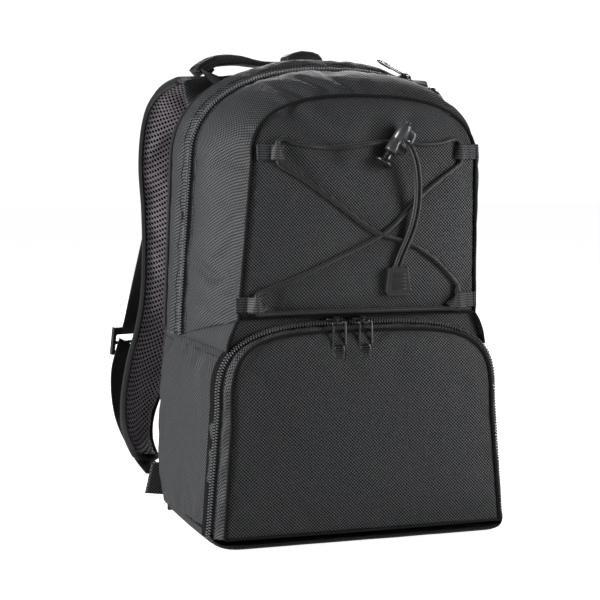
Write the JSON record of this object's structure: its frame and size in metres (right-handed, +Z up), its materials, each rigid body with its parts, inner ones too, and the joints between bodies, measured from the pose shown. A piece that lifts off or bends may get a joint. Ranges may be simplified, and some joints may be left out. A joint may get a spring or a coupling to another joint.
{
  "type": "drone carrying case",
  "caption": "Small black padded backpack case with a zipped lower door, a zipped upper lid with elastic lacing, a grab handle and two shoulder straps.",
  "frame": {"origin": "on the floor, at the middle of the base's flat underside", "axes": "+Z up; -Y is the front, with the door; +X is to the right of someone who faces the door"},
  "size_m": [0.3304, 0.2523, 0.404],
  "materials": {
    "cloth": "matt twill weave",
    "piping": "folded tape over a cord",
    "mesh": "open spacer mesh",
    "lining": "smooth lining",
    "foam": "brushed foam",
    "webbing": "ribbed webbing",
    "zip_tape": "knitted tape",
    "zip_coil": "satin nylon",
    "zip_metal": "gloss black enamel",
    "spring_steel": "drawn wire",
    "lock_body": "satin moulded",
    "lock_plunger": "satin moulded",
    "cord": "braided elastic",
    "cord_end": "moulded",
    "buckle": "moulded"
  },
  "bodies": {
    "bag": {"back_panel": "cloth", "back_pads": "mesh", "rear_gusset": "cloth", "lower_side_l": "cloth", "lower_side_r": "cloth", "base_panel": "cloth", "shelf": "lining", "yoke": "cloth", "drone_cradle": "foam", "slip_pocket": "lining", "padded_divider": "lining", "main_coil": "zip_coil", "rear_zip_tape": "zip_tape", "door_coil": "zip_coil", "strap_anchor_l": "cloth", "strap_anchor_r": "cloth", "strap_top_l": "cloth", "strap_top_r": "cloth", "handle_patch": "webbing"},
    "lid": {"front_panel": "cloth", "front_gusset": "cloth", "lid_piping": "piping", "lid_zip_tape": "zip_tape", "loop_upper_l": "webbing", "loop_upper_r": "webbing", "loop_lower_l": "webbing", "loop_lower_r": "webbing", "lacing": "cord", "lid_pocket": "lining", "lock_body": "lock_body", "lock_spring": "spring_steel", "cord_tail_a": "cord", "cord_tail_b": "cord", "cord_end": "cord_end"},
    "plunger": {"lock_plunger": "lock_plunger"},
    "door": {"door_panel": "cloth", "door_gusset": "cloth", "door_piping": "piping", "door_zip_tape": "zip_tape", "door_pocket": "lining"},
    "door_slider_left": {"door_slider_l": "zip_metal"},
    "door_slider_right": {"door_slider_r": "zip_metal"},
    "door_pull_left": {"door_pull_l": "zip_metal"},
    "door_pull_right": {"door_pull_r": "zip_metal"},
    "main_slider_upper": {"main_slider_a": "zip_metal"},
    "main_slider_lower": {"main_slider_b": "zip_metal"},
    "main_pull_upper": {"main_pull_a": "zip_metal"},
    "main_pull_lower": {"main_pull_b": "zip_metal"},
    "handle": {"handle_webbing": "webbing", "handle_grip": "cloth"},
    "strap_left": {"strap_pad_l": "mesh", "strap_webbing_l": "webbing", "lower_webbing_l": "webbing"},
    "strap_right": {"strap_pad_r": "mesh", "strap_webbing_r": "webbing", "lower_webbing_r": "webbing"},
    "ladder_left": {"ladder_lock_l": "buckle"},
    "ladder_right": {"ladder_lock_r": "buckle"}
  },
  "joints": [
    {"name": "lid_fold", "type": "hinge", "parent": "bag", "child": "lid", "pos_m": [0, -0.06, 0.1805], "axis": [1, 0, 0], "range_deg": [0, 40]},
    {"name": "door_fold", "type": "hinge", "parent": "bag", "child": "door", "pos_m": [0, -0.076, 0.006], "axis": [1, 0, 0], "range_deg": [0, 88]},
    {"name": "lock_press", "type": "slide", "parent": "lid", "child": "plunger", "axis": [0.5592, 0, 0.829], "range_m": [0, 0.005], "stiffness_N_per_m": 300, "springref_m": -0.002},
    {"name": "door_zip_left", "type": "slide", "parent": "door", "child": "door_slider_left", "axis": [-1, 0, 0], "range_m": [0, 0.055]},
    {"name": "door_zip_right", "type": "slide", "parent": "door", "child": "door_slider_right", "axis": [1, 0, 0], "range_m": [0, 0.055]},
    {"name": "door_pull_left_swing", "type": "hinge", "parent": "door_slider_left", "child": "door_pull_left", "pos_m": [-0.022, -0.0748, 0.1772], "axis": [-1, 0, 0], "range_deg": [0, 120]},
    {"name": "door_pull_right_swing", "type": "hinge", "parent": "door_slider_right", "child": "door_pull_right", "pos_m": [0, -0.0748, 0.1772], "axis": [-1, 0, 0], "range_deg": [0, 120]},
    {"name": "main_zip_upper", "type": "hinge", "parent": "bag", "child": "main_slider_upper", "pos_m": [0.02888, 0.028, 0.24404], "axis": [0, -1, 0], "range_deg": [0, 8]},
    {"name": "main_zip_lower", "type": "hinge", "parent": "bag", "child": "main_slider_lower", "pos_m": [0.04639, 0.028, 0.28189], "axis": [0, 1, 0], "range_deg": [0, 9]},
    {"name": "main_pull_upper_swing", "type": "hinge", "parent": "main_slider_upper", "child": "main_pull_upper", "pos_m": [0.0736, 0.028, 0.37578], "axis": [0.7257, 0.6428, -0.2452], "range_deg": [0, 110]},
    {"name": "main_pull_lower_swing", "type": "hinge", "parent": "main_slider_lower", "child": "main_pull_lower", "pos_m": [0.09867, 0.028, 0.36405], "axis": [0.732, -0.5, -0.4628], "range_deg": [0, 110]},
    {"name": "handle_lift", "type": "hinge", "parent": "bag", "child": "handle", "pos_m": [-0.039, 0.079, 0.377], "axis": [1, 0, 0], "range_deg": [0, 25]},
    {"name": "strap_left_swing", "type": "hinge", "parent": "bag", "child": "strap_left", "pos_m": [-0.072, 0.074, 0.362], "axis": [0.1805, 0.006, 0.9836], "range_deg": [-15, 15]},
    {"name": "strap_right_swing", "type": "hinge", "parent": "bag", "child": "strap_right", "pos_m": [0.072, 0.074, 0.362], "axis": [0.1805, -0.006, -0.9836], "range_deg": [-15, 15]},
    {"name": "ladder_left_tilt", "type": "hinge", "parent": "strap_left", "child": "ladder_left", "pos_m": [-0.1426, 0.1615, 0.1506], "axis": [0.9511, 0.309, 0], "range_deg": [0, 35]},
    {"name": "ladder_right_tilt", "type": "hinge", "parent": "strap_right", "child": "ladder_right", "pos_m": [0.1426, 0.1615, 0.1506], "axis": [0.9511, -0.309, 0], "range_deg": [0, 35]}
  ]
}
